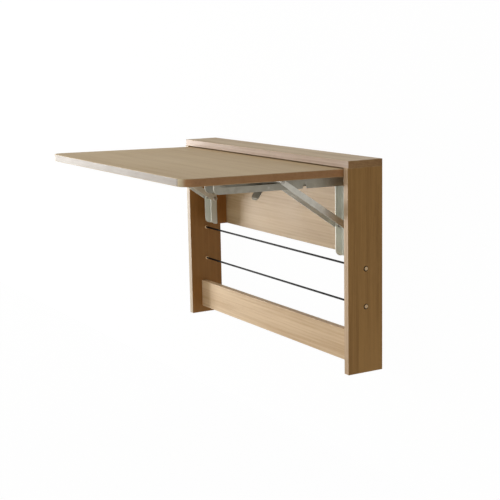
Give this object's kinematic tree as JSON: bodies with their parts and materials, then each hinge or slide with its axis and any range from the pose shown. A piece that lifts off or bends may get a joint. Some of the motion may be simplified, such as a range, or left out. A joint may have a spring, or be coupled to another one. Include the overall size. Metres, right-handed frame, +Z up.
{
  "type": "wall mounted drop leaf table",
  "caption": "Shallow wooden wall frame with a drop leaf held open by a pair of self-locking folding steel brackets; rods and a lower rail stay in view when it hangs down.",
  "frame": {"origin": "centre of the four wall-screw holes, on the wall face of the back panel", "axes": "+X to the right facing the wall, +Y into the wall, +Z up"},
  "size_m": [0.8, 0.511, 0.505],
  "materials": {
    "frame_wood": "oiled board with fine grain",
    "leaf_wood": "satin lacquered board",
    "dowel_wood": "plain fluted beech dowels",
    "leg_steel": "light grey baked enamel",
    "bracket_steel": "zinc-plated sheet",
    "rivet_steel": "turned and peened",
    "spring_steel": "drawn wire",
    "zinc": "bright zinc plate",
    "black_rod": "satin black"
  },
  "bodies": {
    "frame": {"side_panel_left": "frame_wood", "side_panel_right": "frame_wood", "top_cap": "frame_wood", "back_panel": "frame_wood", "bracket_block_left": "frame_wood", "bracket_block_right": "frame_wood", "lower_rail": "frame_wood", "cap_dowels": "dowel_wood", "back_dowels": "dowel_wood", "rail_dowels": "dowel_wood", "rod_lower": "black_rod", "rod_upper": "black_rod", "rod_nuts": "zinc", "rod_collars": "zinc", "panel_screws": "zinc", "leg_screws": "zinc", "fold_pins": "rivet_steel", "link_pins": "rivet_steel", "leg_left": "leg_steel", "leg_right": "leg_steel"},
    "leaf": {"leaf_board": "leaf_wood", "arm_left": "bracket_steel", "arm_right": "bracket_steel", "arm_screws": "zinc", "lever_pins": "rivet_steel", "lever_spring_left": "spring_steel", "lever_spring_right": "spring_steel"},
    "strut_left": {"inner_link_left": "bracket_steel", "outer_link_left": "bracket_steel", "link_rivets_left": "rivet_steel"},
    "slider_left": {"slide_pin_left": "rivet_steel"},
    "lever_left": {"release_lever_left": "bracket_steel"},
    "strut_right": {"inner_link_right": "bracket_steel", "outer_link_right": "bracket_steel", "link_rivets_right": "rivet_steel"},
    "slider_right": {"slide_pin_right": "rivet_steel"},
    "lever_right": {"release_lever_right": "bracket_steel"}
  },
  "joints": [
    {"name": "leaf_fold", "type": "hinge", "parent": "frame", "child": "leaf", "pos_m": [0, -0.0675, 0.0095], "axis": [1, 0, 0], "range_deg": [0, 91]},
    {"name": "link_swing_left", "type": "hinge", "parent": "frame", "child": "strut_left", "pos_m": [-0.3265, -0.06, -0.1035], "axis": [1, 0, 0], "range_deg": [0, 120.48]},
    {"name": "link_swing_right", "type": "hinge", "parent": "frame", "child": "strut_right", "pos_m": [0.3265, -0.06, -0.1035], "axis": [1, 0, 0], "range_deg": [0, 120.48]},
    {"name": "pin_slide_left", "type": "slide", "parent": "leaf", "child": "slider_left", "axis": [0, -0.9998, 0.0175], "range_m": [0, 0.15702]},
    {"name": "pin_slide_right", "type": "slide", "parent": "leaf", "child": "slider_right", "axis": [0, -0.9998, 0.0175], "range_m": [0, 0.15702]},
    {"name": "lever_press_left", "type": "hinge", "parent": "leaf", "child": "lever_left", "pos_m": [-0.3265, -0.27706, 0.00796], "axis": [-1, 0, 0], "range_deg": [0, 14], "stiffness_Nm_per_rad": 0.5, "springref_deg": -17.19, "deforming": ["lever_spring_left"]},
    {"name": "lever_press_right", "type": "hinge", "parent": "leaf", "child": "lever_right", "pos_m": [0.3265, -0.27706, 0.00796], "axis": [-1, 0, 0], "range_deg": [0, 14], "stiffness_Nm_per_rad": 0.5, "springref_deg": -17.19, "deforming": ["lever_spring_right"]}
  ],
  "couplings": [
    {"joint": "link_swing_left", "follows": "leaf_fold", "ratio": 1.3239},
    {"joint": "link_swing_right", "follows": "leaf_fold", "ratio": 1.3239},
    {"joint": "pin_slide_left", "follows": "leaf_fold", "m_per_rad": 0.098866},
    {"joint": "pin_slide_right", "follows": "leaf_fold", "m_per_rad": 0.098866}
  ]
}
